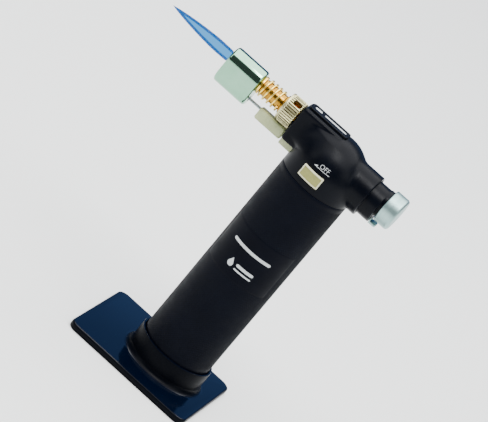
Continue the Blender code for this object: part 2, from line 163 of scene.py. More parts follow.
def loft(name, loops, closed=False):
    """Skin between loops of equal count; open ends are capped."""
    count = len(loops[0])
    verts = [p for loop in loops for p in loop]
    faces = []
    pairs = list(range(len(loops) - 1)) + ([len(loops) - 1] if closed else [])
    for i in pairs:
        a, b = i * count, ((i + 1) % len(loops)) * count
        for k in range(count):
            n = (k + 1) % count
            faces.append((a + k, a + n, b + n, b + k))
    if not closed:
        faces.append(tuple(range(count)))
        faces.append(tuple(range((len(loops) - 1) * count, len(loops) * count)))
    return mesh_object(name, verts, faces)


def box(name, low, high, soft=0.0, seg=3):
    """A block with rounded edges between two corners."""
    lo, hi = Vector(low), Vector(high)
    bm = bmesh.new()
    bmesh.ops.create_cube(bm, size=1.0)
    for v in bm.verts:
        v.co = Vector([(lo[i] + hi[i]) / 2 + v.co[i] * (hi[i] - lo[i]) for i in range(3)]) * MM
    if soft:
        bmesh.ops.bevel(bm, geom=bm.edges[:], offset=soft * MM, segments=seg, profile=0.5, affect='EDGES')
    mesh = bpy.data.meshes.new(name)
    bm.to_mesh(mesh)
    bm.free()
    obj = bpy.data.objects.new(name, mesh)
    bpy.context.scene.collection.objects.link(obj)
    return obj


def sector(name, r_in, r_out, z0, z1, middle, half, steps=24):
    """Arc-shaped block about the handle axis; angles run from -Y towards +X."""
    loops = []
    for i in range(steps + 1):
        a = middle - half + 2 * half * i / steps
        c, s = sin(a), -cos(a)
        loops.append([(r_in * c, r_in * s, z0), (r_out * c, r_out * s, z0),
                      (r_out * c, r_out * s, z1), (r_in * c, r_in * s, z1)])
    return loft(name, loops)


def tube(name, points, radius, sides=12, taper=None):
    """Round wire through points in millimetres, with a steady twist-free section."""
    pts = [Vector(p) for p in points]
    tangents = [(pts[min(i + 1, len(pts) - 1)] - pts[max(i - 1, 0)]).normalized() for i in range(len(pts))]
    up = tangents[0].orthogonal().normalized()
    loops = []
    for i, (p, t) in enumerate(zip(pts, tangents)):
        up = (up - t * up.dot(t)).normalized()
        side = t.cross(up)
        r = radius * (taper(i / (len(pts) - 1)) if taper else 1.0)
        loops.append([tuple(p + up * r * cos(2 * pi * k / sides) + side * r * sin(2 * pi * k / sides))
                      for k in range(sides)])
    return loft(name, loops)


def bend(points, radius, steps=8):
    """Round the inner corners of an open path."""
    out = [Vector(points[0])]
    for a, p, b in zip(points, points[1:], points[2:]):
        a, p, b = Vector(a), Vector(p), Vector(b)
        back, ahead = (a - p).normalized(), (b - p).normalized()
        start, end = p + back * radius, p + ahead * radius
        for k in range(steps + 1):
            t = k / steps
            out.append(start.lerp(p, t).lerp(p.lerp(end, t), t))
    out.append(Vector(points[-1]))
    return out


def evaluated(obj):
    """Bake the object's modifiers into its mesh."""
    graph = bpy.context.evaluated_depsgraph_get()
    mesh = bpy.data.meshes.new_from_object(obj.evaluated_get(graph))
    obj.modifiers.clear()
    old = obj.data
    obj.data = mesh
    bpy.data.meshes.remove(old)
    return obj


def combine(obj, other, operation='DIFFERENCE', keep=False):
    """Boolean of two meshes, baked; the other object is used up."""
    mod = obj.modifiers.new("Bool", 'BOOLEAN')
    mod.operation = operation
    mod.solver = 'EXACT'
    mod.object = other
    evaluated(obj)
    if not keep:
        bpy.data.objects.remove(other, do_unlink=True)
    return obj


def round_edges(obj, width, seg=3, angle=35):
    mod = obj.modifiers.new("Soft", 'BEVEL')
    mod.width = width * MM
    mod.segments = seg
    mod.limit_method = 'ANGLE'
    mod.angle_limit = radians(angle)
    mod.harden_normals = False
    return evaluated(obj)


def copy_of(obj, name):
    new = bpy.data.objects.new(name, obj.data.copy())
    new.matrix_world = obj.matrix_world.copy()
    bpy.context.scene.collection.objects.link(new)
    return new


def finish_piece(obj, body, look, nodes=(), angle=35):
    """Shade, paint and hang a piece on its body."""
    mesh = obj.data
    mesh.shade_smooth()
    mesh.set_sharp_from_angle(angle=radians(angle))
    mesh.materials.clear()
    mesh.materials.append(look)
    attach(obj, body)
    if nodes:
        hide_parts(*nodes)
    return obj


# ---------------------------------------------------------------- materials

def ramp_of(nodes, stops):
    node = nodes.new('ShaderNodeValToRGB')
    ramp = node.color_ramp
    while len(ramp.elements) < len(stops):
        ramp.elements.new(0.5)
    for element, (place, colour) in zip(ramp.elements, stops):
        element.position = place
        element.color = (*colour, 1.0)
    return node


def noise_of(nodes, links, coords, scale, detail=4.0, rough=0.55, stretch=None):
    node = nodes.new('ShaderNodeTexNoise')
    node.inputs['Scale'].default_value = scale
    node.inputs['Detail'].default_value = detail
    node.inputs['Roughness'].default_value = rough
    source = coords
    if stretch:
        mapping = nodes.new('ShaderNodeMapping')
        mapping.inputs['Scale'].default_value = stretch
        links.new(coords, mapping.inputs['Vector'])
        source = mapping.outputs['Vector']
    links.new(source, node.inputs['Vector'])
    return node


def surface(name, dark, light, rough, metal=0.0, spec=0.5, coat=0.0, coat_rough=0.1, blotch=120.0,
            grain=2500.0, grain_depth=0.00002, stretch=None, spots=None, aniso=0.0,
            edge_tint=None):
    """A procedural finish: two tones mixed by soft noise, a roughness range, fine grain in relief,
    and optionally specks and a lighter tint on pointed edges."""
    mat = bpy.data.materials.new(name)
    mat.use_nodes = True
    nodes, links = mat.node_tree.nodes, mat.node_tree.links
    shader = nodes['Principled BSDF']
    shader.inputs['Metallic'].default_value = metal
    shader.inputs['Specular IOR Level'].default_value = spec
    shader.inputs['Coat Weight'].default_value = coat
    shader.inputs['Coat Roughness'].default_value = coat_rough
    shader.inputs['Anisotropic'].default_value = aniso
    coords = nodes.new('ShaderNodeTexCoord').outputs['Object']
    tone = noise_of(nodes, links, coords, blotch, 5.0, 0.6, stretch)
    ramp = ramp_of(nodes, [(0.32, dark), (0.68, light)])
    links.new(tone.outputs['Fac'], ramp.inputs['Fac'])
    colour = ramp.outputs['Color']
    if spots:
        scale, size, tint = spots
        cells = nodes.new('ShaderNodeTexVoronoi')
        cells.inputs['Scale'].default_value = scale
        links.new(coords, cells.inputs['Vector'])
        mask = nodes.new('ShaderNodeMapRange')
        mask.inputs['From Min'].default_value = size
        mask.inputs['From Max'].default_value = size * 0.6
        links.new(cells.outputs['Distance'], mask.inputs['Value'])
        mix = nodes.new('ShaderNodeMix')
        mix.data_type = 'RGBA'
        mix.inputs['B'].default_value = (*tint, 1.0)
        links.new(mask.outputs['Result'], mix.inputs['Factor'])
        links.new(colour, mix.inputs['A'])
        colour = mix.outputs['Result']
    if edge_tint:
        amount, tint = edge_tint
        geo = nodes.new('ShaderNodeNewGeometry')
        edge = nodes.new('ShaderNodeMapRange')
        edge.inputs['From Min'].default_value = 0.53
        edge.inputs['From Max'].default_value = 0.62
        edge.inputs['To Max'].default_value = amount
        links.new(geo.outputs['Pointiness'], edge.inputs['Value'])
        mix = nodes.new('ShaderNodeMix')
        mix.data_type = 'RGBA'
        mix.inputs['B'].default_value = (*tint, 1.0)
        links.new(edge.outputs['Result'], mix.inputs['Factor'])
        links.new(colour, mix.inputs['A'])
        colour = mix.outputs['Result']
    links.new(colour, shader.inputs['Base Color'])
    smear = noise_of(nodes, links, coords, blotch * 3.1, 6.0, 0.65, stretch)
    spread = nodes.new('ShaderNodeMapRange')
    spread.inputs['From Min'].default_value = 0.3
    spread.inputs['From Max'].default_value = 0.7
    spread.inputs['To Min'].default_value = rough[0]
    spread.inputs['To Max'].default_value = rough[1]
    links.new(smear.outputs['Fac'], spread.inputs['Value'])
    links.new(spread.outputs['Result'], shader.inputs['Roughness'])
    relief = noise_of(nodes, links, coords, grain, 3.0, 0.6, stretch)
    bump = nodes.new('ShaderNodeBump')
    bump.inputs['Strength'].default_value = 0.6
    bump.inputs['Distance'].default_value = grain_depth
    links.new(relief.outputs['Fac'], bump.inputs['Height'])
    links.new(bump.outputs['Normal'], shader.inputs['Normal'])
    return mat


def slope_tint(mat, socket, steep, low, high):
    """Let an input keep its value on flat tops and take another one on steep faces."""
    nodes, links = mat.node_tree.nodes, mat.node_tree.links
    target = nodes['Principled BSDF'].inputs[socket]
    split = nodes.new('ShaderNodeSeparateXYZ')
    links.new(nodes.new('ShaderNodeNewGeometry').outputs['Normal'], split.inputs['Vector'])
    share = nodes.new('ShaderNodeMapRange')
    share.interpolation_type = 'SMOOTHSTEP'
    share.inputs['From Min'].default_value = low
    share.inputs['From Max'].default_value = high
    links.new(split.outputs['Z'], share.inputs['Value'])
    if socket == "Base Color":
        mix = nodes.new('ShaderNodeMix')
        mix.data_type = 'RGBA'
        mix.inputs['A'].default_value = steep
        links.new(share.outputs['Result'], mix.inputs['Factor'])
        links.new(target.links[0].from_socket, mix.inputs['B'])
        links.new(mix.outputs['Result'], target)
    else:
        share.inputs['To Min'].default_value = steep
        if target.is_linked:
            links.new(target.links[0].from_socket, share.inputs['To Max'])
        else:
            share.inputs['To Max'].default_value = target.default_value
        links.new(share.outputs['Result'], target)


black_gloss = surface("black_gloss", (0.0009, 0.0014, 0.0032), (0.0016, 0.0023, 0.0048), (0.28, 0.38),
                      spec=0.075,
                      blotch=90, grain=3200, grain_depth=0.000012, edge_tint=(0.25, (0.012, 0.016, 0.024)))
black_satin = surface("black_satin", (0.0009, 0.0014, 0.0030), (0.0018, 0.0025, 0.0048), (0.36, 0.5),
                      spec=0.09,
                      blotch=140, grain=2600, grain_depth=0.00002)
grip_black = surface("grip_black", (0.0005, 0.0010, 0.0034), (0.0011, 0.0018, 0.0052), (0.36, 0.52),
                     spec=0.05,
                     blotch=60, grain=4200, grain_depth=0.00002, edge_tint=(1.0, (0.016, 0.023, 0.042)))
stand_look = surface("stand_look", (0.0002, 0.0016, 0.0070), (0.0003, 0.0022, 0.0090), (0.08, 0.13),
                     spec=0.32,
                     blotch=40, grain=1800, grain_depth=0.000004)
# Painted reflection: flat tops keep the navy base, which stands in for the blue back light's reflection on
# the black moulding, and steep faces are painted plain black; the blue back light adds a real reflection as
# well.
slope_tint(stand_look, "Base Color", (0.0008, 0.0013, 0.0030, 1.0), 0.75, 0.99)
slope_tint(stand_look, "Roughness", 0.36, 0.80, 0.99)
slope_tint(stand_look, "Specular IOR Level", 0.05, 0.86, 0.995)
chrome = surface("chrome", (0.20, 0.40, 0.27), (0.26, 0.46, 0.33), (0.07, 0.12), metal=1.0,
                 blotch=70, grain=1400, grain_depth=0.000004)
nickel = surface("nickel", (0.46, 0.43, 0.22), (0.58, 0.54, 0.31), (0.34, 0.44), metal=1.0,
                 blotch=200, grain=2600, grain_depth=0.000006)
brass = surface("brass", (0.92, 0.56, 0.08), (1.0, 0.72, 0.16), (0.2, 0.3), metal=1.0,
                blotch=260, grain=3000, grain_depth=0.000008)
# Painted highlight: a lighter copy of the brass for the heat coil, whose turns catch the light.
brass_painted_highlight = surface("brass_painted_highlight", (1.0, 0.66, 0.13), (1.0, 0.80, 0.24), (0.26, 0.36), metal=1.0,
                       blotch=260, grain=3000, grain_depth=0.000006)
# Painted shade: a darkened copy of the brass for the mixer and burner tube, which sit in shadow under the air
# ring and the coil.
brass_painted_shade = surface("brass_painted_shade", (0.30, 0.14, 0.012), (0.46, 0.25, 0.03), (0.2, 0.32), metal=1.0,
                     blotch=240, grain=2600, grain_depth=0.000008)
# Painted shade: a dark copy of the ring's nickel for the faces down in its grooves.
groove_painted_shade = surface("groove_painted_shade", (0.10, 0.08, 0.045), (0.18, 0.15, 0.09), (0.4, 0.55), metal=1.0,
                      blotch=300, grain=2600, grain_depth=0.000008)
brass_dull = surface("brass_dull", (0.45, 0.29, 0.10), (0.62, 0.43, 0.17), (0.32, 0.46), metal=1.0,
                     blotch=220, grain=2400, grain_depth=0.00001)
ceramic = surface("ceramic", (0.34, 0.38, 0.19), (0.43, 0.47, 0.25), (0.22, 0.36), spec=0.4, coat=0.2,
                  blotch=160, grain=1500, grain_depth=0.00002, spots=(1700, 0.16, (0.36, 0.34, 0.24)))
cream = surface("cream", (0.235, 0.23, 0.07), (0.31, 0.305, 0.10), (0.4, 0.55), spec=0.3,
                blotch=420, grain=2600, grain_depth=0.00003, spots=(1500, 0.2, (0.30, 0.26, 0.12)))
# Painted highlight: a lighter cream for the thumb pad's rim, standing in for the light its edges catch.
cream_painted_highlight = surface("cream_painted_highlight", (0.56, 0.55, 0.34), (0.66, 0.65, 0.45), (0.35, 0.5), spec=0.4,
                     blotch=180, grain=2600, grain_depth=0.00002)
satin_cap = surface("satin_cap", (0.29, 0.43, 0.42), (0.35, 0.49, 0.48), (0.38, 0.46), metal=1.0,
                    blotch=60, grain=1500, grain_depth=0.000003, stretch=(8, 1, 1))
steel = surface("steel", (0.42, 0.44, 0.45), (0.58, 0.60, 0.60), (0.2, 0.34), metal=1.0,
                blotch=180, grain=1600, grain_depth=0.000008, stretch=(1, 1, 5))
rod_steel = surface("rod_steel", (0.20, 0.24, 0.25), (0.30, 0.35, 0.36), (0.3, 0.42), metal=1.0,
                    blotch=200, grain=1800, grain_depth=0.000008)
holder_steel = surface("holder_steel", (0.20, 0.19, 0.20), (0.36, 0.33, 0.34), (0.35, 0.5), metal=1.0,
                       blotch=300, grain=2400, grain_depth=0.00002)
ivory = surface("ivory", (0.66, 0.63, 0.50), (0.76, 0.74, 0.62), (0.35, 0.5), blotch=140, grain=2400)
rubber = surface("rubber", (0.008, 0.008, 0.008), (0.02, 0.02, 0.02), (0.6, 0.75), blotch=200, grain=3000)
felt = surface("felt", (0.62, 0.60, 0.55), (0.80, 0.79, 0.75), (0.8, 0.95), blotch=500, grain=5000,
               grain_depth=0.0001)
lead_red = surface("lead_red", (0.30, 0.02, 0.015), (0.42, 0.04, 0.03), (0.35, 0.5), blotch=250, grain=3000)
print_white = surface("print_white", (0.44, 0.47, 0.48), (0.58, 0.61, 0.62), (0.45, 0.6), blotch=900,
                      grain=4000, grain_depth=0.00001)

# ---------------------------------------------------------------- stand

def rounded_square(x0, x1, half, corner, inset, z, seg=12):
    pts = []
    r = max(corner - inset, 0.2)
    for cx, cy, start in ((x1 - corner, half - corner, 0), (x0 + corner, half - corner, 90),
                          (x0 + corner, -half + corner, 180), (x1 - corner, -half + corner, 270)):
        for k in range(seg + 1):
            a = radians(start + 90 * k / seg)
            pts.append((cx + r * cos(a), cy + r * sin(a), z))
    return pts


lo, hi = [Vector(c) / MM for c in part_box("stand_base")]
edge = [(0.5, 0.0), (0.15, 0.15), (0.0, 0.5), (0.0, 2.3), (0.08, 2.66), (0.28, 2.96), (0.6, 3.14), (1.0, 3.2)]
plate = loft("stand_plate", [rounded_square(lo.x, hi.x, hi.y, 5.0, d, z) for d, z in edge])
foot = [(20.0, 15.5), (20.45, 15.35), (20.6, 14.95), (20.6, 6.4)]
foot += [(20.6 + 3.2 * (1 - cos(radians(a))), 6.4 - 3.2 * sin(radians(a))) for a in range(6, 90, 6)]
foot += [(23.8, 3.19), (23.8, 2.4), (19.3, 2.4), (19.3, 14.9), (19.5, 15.35)]
stand = combine(plate, revolve("stand_collar", foot, steps=128), 'UNION')
finish_piece(stand, "stand", stand_look, ["stand_base"], 28)
stand.name = "stand_moulding"

# ---------------------------------------------------------------- grip sleeve

AROUND, SUB = 84, 4             # diamonds round the grip, points in each


def grip():
    """Sleeve with a rolled-in diamond pattern between two plain bands."""
    columns = AROUND * SUB
    pitch = 2 * pi * HANDLE_R / AROUND
    z0, z1 = 17.2, 122.8
    rows = int(round((z1 - z0) / pitch)) * SUB
    step = (z1 - z0) / rows
    theta = np.arange(columns) * 2 * pi / columns
    profile = [(HANDLE_R - 1.5, GRIP_BOTTOM), (HANDLE_R - 0.6, GRIP_BOTTOM),
               (HANDLE_R - 0.15, GRIP_BOTTOM + 0.2),
               (HANDLE_R, GRIP_BOTTOM + 0.6), (HANDLE_R, z0 - 0.5)]
    rings = [np.full(columns, r) for r, _ in profile]
    heights = [z for _, z in profile]
    col = np.arange(columns)
    for j in range(rows + 1):
        u = ((col + j) % SUB) / SUB
        v = ((col - j) % SUB) / SUB
        groove = np.maximum(np.abs(u - 0.5), np.abs(v - 0.5)) * 2.0
        around = np.abs((theta + pi / 2 + pi) % (2 * pi) - pi)
        off_patch = np.clip(np.maximum((around - radians(63)) / radians(2),
                                       (abs(z0 + j * step - 79.0) - 12.4) / 0.4), 0, 1)
        fade = off_patch * min(1.0, j / 4.0, (rows - j) / 4.0)
        rings.append(HANDLE_R - 0.2 * fade * groove ** 2)
        heights.append(z0 + j * step)
    for r, z in [(HANDLE_R, z1 + 0.5), (HANDLE_R, GRIP_TOP - 0.35), (HANDLE_R - 0.1, GRIP_TOP - 0.1),
                 (HANDLE_R - 0.35, GRIP_TOP), (17.4, GRIP_TOP), (17.4, GRIP_BOTTOM)]:
        rings.append(np.full(columns, r))
        heights.append(z)
    loops = [[(r * cos(t), r * sin(t), z) for r, t in zip(ring, theta)] for ring, z in zip(rings, heights)]
    return loft("grip_sleeve_fine", loops, closed=True)


finish_piece(grip(), "torch", grip_black, ["grip_sleeve"], 40)

plug = revolve("base_plug_fine",
               fillet([(3.26, 4.6), (6.0, 4.6), (6.0, 3.5), (18.9, 3.5), (18.9, 7.7), (3.25, 7.7)],
                      [0, 0.15, 0.3, 0.8, 0.2, 0]), steps=96)
finish_piece(plug, "torch", black_satin, ["tank_base_plug"])

# ---------------------------------------------------------------- head

def dome_profile(r, bottom, steps=28):
    pts = [(r * sin(pi / 2 * i / steps), SKIRT_TOP + r * cos(pi / 2 * i / steps)) for i in range(steps + 1)]
    return pts + bottom


def soft_step(a, b, x):
    t = np.clip((x - a) / (b - a), 0, 1)
    return t * t * (3 - 2 * t)


def blend(a, b, k):
    h = np.clip(0.5 + 0.5 * (b - a) / k, 0, 1)
    return b + (a - b) * h - k * h * (1 - h)


def head_field(p):
    """Distance in millimetres to the head's outside: dome, front block and barrel, softly joined."""
    x, y, z = p.T
    dome = np.sqrt(x * x + y * y + np.maximum(z - SKIRT_TOP, 0) ** 2) - HANDLE_R
    half = np.array([12.0, 7.8, 9.9]) - 1.8
    q = np.abs(p - np.array([-14.0, 0.0, 141.7])) - half
    block = np.linalg.norm(np.maximum(q, 0), axis=1) + np.minimum(q.max(axis=1), 0) - 1.8
    wide = np.hypot(y, z - BARREL_Z) - (BARREL_R - 0.7)
    long = np.abs(x - 12.95) - (10.95 - 0.7)
    barrel = np.hypot(np.maximum(wide, 0), np.maximum(long, 0)) + np.minimum(np.maximum(wide, long), 0) - 0.7
    reach = 0.6 + 6.4 * soft_step(133.0, 137.0, z) * soft_step(151.2, 147.6, z)
    return blend(blend(dome, block, reach), barrel, 1.4)


def settle(mesh, rounds=5):
    """Move a mesh's points onto the head's surface, leaving its open foot alone."""
    count = len(mesh.vertices)
    co = np.empty(count * 3)
    mesh.vertices.foreach_get("co", co)
    p = co.reshape(count, 3) / MM
    free = p[:, 2] > 124.2
    q = p[free]
    for _ in range(rounds):
        f = head_field(q)
        grad = np.stack([(head_field(q + d) - head_field(q - d)) / 0.02 for d in np.eye(3) * 0.01], axis=1)
        move = grad * (f / np.maximum((grad ** 2).sum(axis=1), 0.2))[:, None]
        size = np.linalg.norm(move, axis=1, keepdims=True)
        q = q - move * np.minimum(1.0, 0.8 / np.maximum(size, 1e-9))
    p[free] = q
    mesh.vertices.foreach_set("co", (p * MM).ravel())
    mesh.update()


def head():
    """The two shells' common outside, blended into one soft form, then opened for its pieces."""
    body = revolve("head_body", dome_profile(HANDLE_R, [(HANDLE_R, 123.6), (0, 123.6)]), steps=96,
                   closed=False)
    combine(body, box("head_block", (-26.0, -7.8, 131.8), (-2.0, 7.8, HEAD_TOP), 1.8, 4), 'UNION')
    barrel = fillet([(0, 23.9), (BARREL_R, 23.9), (BARREL_R, 2.0), (0, 2.0)], [0, 0.7, 0, 0], 4, closed=False)
    combine(body, revolve("head_barrel", barrel, 'X', BARREL_AXIS, 96, closed=False), 'UNION')
    mesh = body.modifiers.new("Even", 'REMESH')
    mesh.mode = 'VOXEL'
    mesh.voxel_size = 0.4 * MM
    evaluated(body)
    settle(body.data)
    cutters = [
        box("cut_bottom", (-40, -40, 110), (40, 40, 124.9)),
        revolve("cut_cavity", dome_profile(17.3, [(17.3, 126.0), (15.6, 124.2), (15.6, 118.0), (0, 118.0)],
                                           12),
                steps=48, closed=False),
        revolve("cut_bore", [(0, 26), (9.8, 26), (9.8, 23.9), (9.65, 23.5), (9.65, 22.4), (10.15, 22.4),
                             (10.15, 6.4), (0, 6.4)], 'X', BARREL_AXIS, 72, closed=False),
        revolve("cut_mixer", [(0, -30), (4.9, -30), (4.9, -26.1), (4.6, -25.7), (4.6, -10), (0, -10)], 'X',
                BURNER_AXIS, 48, closed=False),
        box("cut_label", (-24.7, -4.8, 151.3), (-1.2, 4.8, 154.5)),
        box("cut_insulator", (-28.0, -1.9, 132.4), (-16.4, 1.9, 135.0)),
        sector("cut_neck_slot", 16.6, 20.4, 129.6, 133.4, radians(-6.2), radians(13.2)),
        sector("cut_tab_slot", 16.6, 20.4, 127.2, 131.7, radians(-92), radians(18.5)),
    ]
    for z in (136.8, 149.2):
        hole = revolve("cut_screw", [(0, 9), (1.6, 9), (1.6, 6.2), (1.1, 6.2), (1.1, -5.4), (0, -5.4)], 'Z',
                       (0, 0, 0), 32, closed=False)
        hole.data.transform(Matrix.Translation((-0.019, 0, z * MM)) @ Matrix.Rotation(-pi / 2, 4, 'X'))
        cutters.append(hole)
    for cutter in cutters:
        combine(body, cutter)
    spigot = revolve("spigot", [(17.1, 125.4), (17.1, 119.0), (15.6, 119.0), (15.6, 124.2), (16.8, 125.4)],
                     steps=64)
    inner = revolve("inner_barrel", [(10.7, 17.0), (10.7, 6.0), (7.6, 6.0), (7.6, 7.8), (10.15, 7.8),
                                     (10.15, 17.0)],
                    'X', BARREL_AXIS, 72)
    combine(body, spigot, 'UNION')
    combine(body, inner, 'UNION')
    far = copy_of(body, "head_shell_far_fine")
    body.name = "head_shell_near_fine"
    combine(body, box("half", (-60, -0.04, 100), (60, 60, 180)))
    combine(far, box("half", (-60, -60, 100), (60, 0.04, 180)))
    return body, far


near, far = head()
finish_piece(near, "torch", black_gloss, ["head_shell_near"], 32)
finish_piece(far, "torch", black_gloss, ["head_shell_far"], 32)

label = loft("label_plate_fine",
             [rounded_square(-24.4, -1.5, 4.5, 1.4, d, z, 8) for d, z in
              [(0.15, 151.6), (0.0, 151.75), (0.0, 152.3), (0.1, 152.5), (0.35, 152.6), (0.75, 152.6),
               (0.9, 152.52), (1.05, 152.48)]])
finish_piece(label, "torch", black_satin, ["label_plate"])

for name, z, node in (("screw_low_fine", 136.8, "shell_screw_lower"),
                      ("screw_high_fine", 149.2, "shell_screw_upper")):
    screw = revolve(name, fillet([(0, 7.2), (1.3, 7.2), (1.3, 6.5), (0.8, 6.5), (0.8, -4.4), (0.4, -5.0),
                                  (0, -5.0)],
                                 [0, 0.3, 0, 0, 0, 0, 0], 4, False), steps=32, closed=False)
    screw.data.transform(Matrix.Translation((-0.019, 0, z * MM)) @ Matrix.Rotation(-pi / 2, 4, 'X'))
    for wide, tall in ((0.85, 0.16), (0.16, 0.85)):
        combine(screw, box("cross", (-19 - wide, 6.8, z - tall), (-19 + wide, 8.0, z + tall)))
    finish_piece(screw, "torch", steel, [node])

# ---------------------------------------------------------------- printed marks

def wrap(obj, radius_at, lift):
    """Lay a flat mesh in XY (metres) round the handle axis: X runs round from -Y, Y is height."""
    bm = bmesh.new()
    bm.from_mesh(obj.data)
    for axis in (0, 1):
        values = [v.co[axis] for v in bm.verts]
        normal = Vector((1, 0, 0)) if axis == 0 else Vector((0, 1, 0))
        place = min(values) + 0.0005
        while place < max(values):
            bmesh.ops.bisect_plane(bm, geom=bm.verts[:] + bm.edges[:] + bm.faces[:], dist=0.0000001,
                                   plane_co=normal * place, plane_no=normal)
            place += 0.0005
    bmesh.ops.triangulate(bm, faces=bm.faces)
    for v in bm.verts:
        r = radius_at(v.co.y)
        a = v.co.x / r
        out = r + lift + v.co.z
        v.co = Vector((out * sin(a), -out * cos(a), v.co.y))
    bmesh.ops.recalc_face_normals(bm, faces=bm.faces)
    bm.to_mesh(obj.data)
    bm.free()
    return obj


def text_mesh(name, body, size, x, y):
    curve = bpy.data.curves.new(name, 'FONT')
    curve.body = body
    curve.size = size
    curve.offset = -0.00005
    curve.extrude = 0.00002
    curve.resolution_u = 3
    temp = bpy.data.objects.new(name + "_text", curve)
    bpy.context.scene.collection.objects.link(temp)
    graph = bpy.context.evaluated_depsgraph_get()
    mesh = bpy.data.meshes.new_from_object(temp.evaluated_get(graph))
    bpy.data.objects.remove(temp, do_unlink=True)
    tidy(mesh, 0.000001)
    mesh.transform(Matrix.Translation((x, y, 0)))
    obj = bpy.data.objects.new(name, mesh)
    bpy.context.scene.collection.objects.link(obj)
    return obj


def flat(name, points, thick=0.03):
    """A flat outline in millimetres, a little thick, for a printed mark."""
    return loft(name, [[(x, y, z) for x, y in points] for z in (-thick, thick)])


def dome_radius(y):
    h = max(0.0, y / MM - SKIRT_TOP)
    return sqrt(HANDLE_R ** 2 - h * h) * MM


off = text_mesh("off_mark", "OFF", 0.0032, -1.35 * MM, 137.6 * MM)
finish_piece(wrap(off, dome_radius, 0.00004), "torch", print_white)
arrow = flat("off_arrow", [(-3.9, 137.1), (-2.3, 138.1), (-2.3, 137.25), (5.2, 137.25), (5.2, 137.05),
                           (-3.9, 137.05)])
finish_piece(wrap(arrow, dome_radius, 0.00004), "torch", print_white)


def pill(x0, x1, y, half, seg=8):
    """A plain bar with round ends."""
    arc = [pi * i / seg for i in range(seg + 1)]
    return [(x1 - half + half * sin(a), y - half * cos(a)) for a in arc] + \
        [(x0 + half - half * sin(a), y + half * cos(a)) for a in arc]


def drop(x, y, r, tall, seg=20):
    """A plain drop, point upwards."""
    return [(x, y + tall)] + [(x + r * cos(radians(20 - 220 * i / seg)),
                               y + r * sin(radians(20 - 220 * i / seg)))
                              for i in range(seg + 1)]


def sleeve_radius(y):
    return HANDLE_R * MM


# Plain marks in place of names
for name, points in (("sleeve_bar", pill(-11.8, 11.8, 83.2, 0.75)),
                     ("sleeve_drop", drop(-4.8, 72.6, 1.6, 3.2)),
                     ("sleeve_line_upper", pill(-1.6, 8.4, 74.0, 0.75)),
                     ("sleeve_line_lower", pill(-1.6, 8.4, 71.6, 0.4))):
    mark = flat(name, points)
    finish_piece(wrap(mark, sleeve_radius, 0.00004), "torch", print_white)

LABEL_MARK_Z = 0.15252    # metres, on the label plate's top face
for name, x0, x1, half in (("label_dot", -22.6, -18.4, 1.1), ("label_bar", -16.6, -3.4, 0.8)):
    mark = flat(name, pill(x0, x1, 0.0, half))
    mark.data.transform(Matrix.Translation((0, 0, LABEL_MARK_Z)))
    finish_piece(mark, "torch", print_white)

# ---------------------------------------------------------------- gas lever

lever = revolve("gas_lever_fine", [(5.6, 129.6), (5.6, 133.0), (3.9, 133.0), (3.9, 129.6)], steps=48)
combine(lever, sector("arc", 14.6, 16.6, 129.8, 132.8, radians(-48), radians(56), 48), 'UNION')
for angle in (radians(-48), radians(-4)):
    along = Vector((sin(angle), -cos(angle)))
    side = Vector((along.y, -along.x)) * 1.8
    corners = [along * 5.0 + side, along * 15.2 + side, along * 15.2 - side, along * 5.0 - side]
    combine(lever, loft("spoke", [[(c.x, c.y, z) for c in corners] for z in (130.0, 132.8)]), 'UNION')
combine(lever, sector("neck", 16.0, 19.7, 130.0, 133.0, PAD_CENTRE, radians(4), 8), 'UNION')
tab = loft("tab", [[(-25.9, -2.3, z), (-25.5, -2.5, z), (-15.4, -3.0, z), (-15.4, 3.0, z), (-25.5, 2.5, z),
                    (-25.9, 2.3, z)] for z in (127.6, 131.3)])
combine(lever, round_edges(tab, 0.45, 3), 'UNION')
finish_piece(lever, "gas_lever", ceramic, ["gas_lever"])

pad = sector("thumb_pad", 19.3, 20.3, 128.5, 134.8, PAD_CENTRE, radians(17.3), 32)
round_edges(pad, 0.3, 3, 50)
combine(pad, sector("pad_recess", 20.12, 21.0, 129.25, 134.05, PAD_CENTRE, radians(15.2), 32))
# Painted highlight: the pad's rim takes the lighter cream, its face keeps the plain cream.
finish_piece(pad, "gas_lever", cream_painted_highlight)
face = sector("pad_face", 20.0, 20.2, 129.3, 134.0, PAD_CENTRE, radians(15.05), 32)
finish_piece(face, "gas_lever", cream)

# ---------------------------------------------------------------- igniter

plunger = revolve("plunger_fine",
                  fillet([(0, 31.0), (9.35, 31.0), (9.35, 22.3), (9.85, 21.8), (9.85, 16.8), (7.6, 16.8),
                          (7.6, 29.0), (0, 29.0)],
                         [0, 0.5, 0.2, 0.2, 0.3, 0.2, 0, 0], 4, False), 'X', BARREL_AXIS, 96, closed=False)
core = revolve("plunger_core", fillet([(0, 38.8), (7.4, 38.8), (7.4, 30.4), (0, 30.4)], [0, 0.3, 0, 0], 3,
                                      False),
               'X', CAP_AXIS, 72, closed=False)
combine(plunger, core, 'UNION')
finish_piece(plunger, "igniter_button", black_gloss, ["button_plunger"])

ribs = []
for i in range(12):             # fine turned rings round the cap
    x = 38.6 - i * 0.42
    ribs += [(8.95, x), (8.92, x - 0.12), (8.92, x - 0.2), (8.95, x - 0.3)]
outer = [(0, 40.75), (4.6, 40.72), (7.2, 40.6)]
outer += [(7.45 + 1.5 * sin(radians(a)), 39.1 + 1.5 * cos(radians(a))) for a in range(10, 91, 10)]
cap = revolve("button_cap_fine",
              outer + ribs + [(8.95, 33.3), (8.85, 32.95), (8.65, 32.8), (7.7, 32.8), (7.7, 39.1), (0, 39.1)],
              'X', CAP_AXIS, 120, closed=False)
cap.data.transform(Matrix.Translation((-0.15 * MM, 0, 0)))
finish_piece(cap, "igniter_button", satin_cap, ["button_cap"], 40)

catch = box("safety_catch_fine", (31.3, -2.6, 127.8), (31.9, 2.6, 130.9), 0.12, 2)
combine(catch, box("catch_foot", (31.5, -2.6, 127.8), (35.2, 2.6, 129.4), 0.55, 4), 'UNION')
finish_piece(catch, "safety_catch", satin_cap, ["safety_catch"])

# ---------------------------------------------------------------- burner

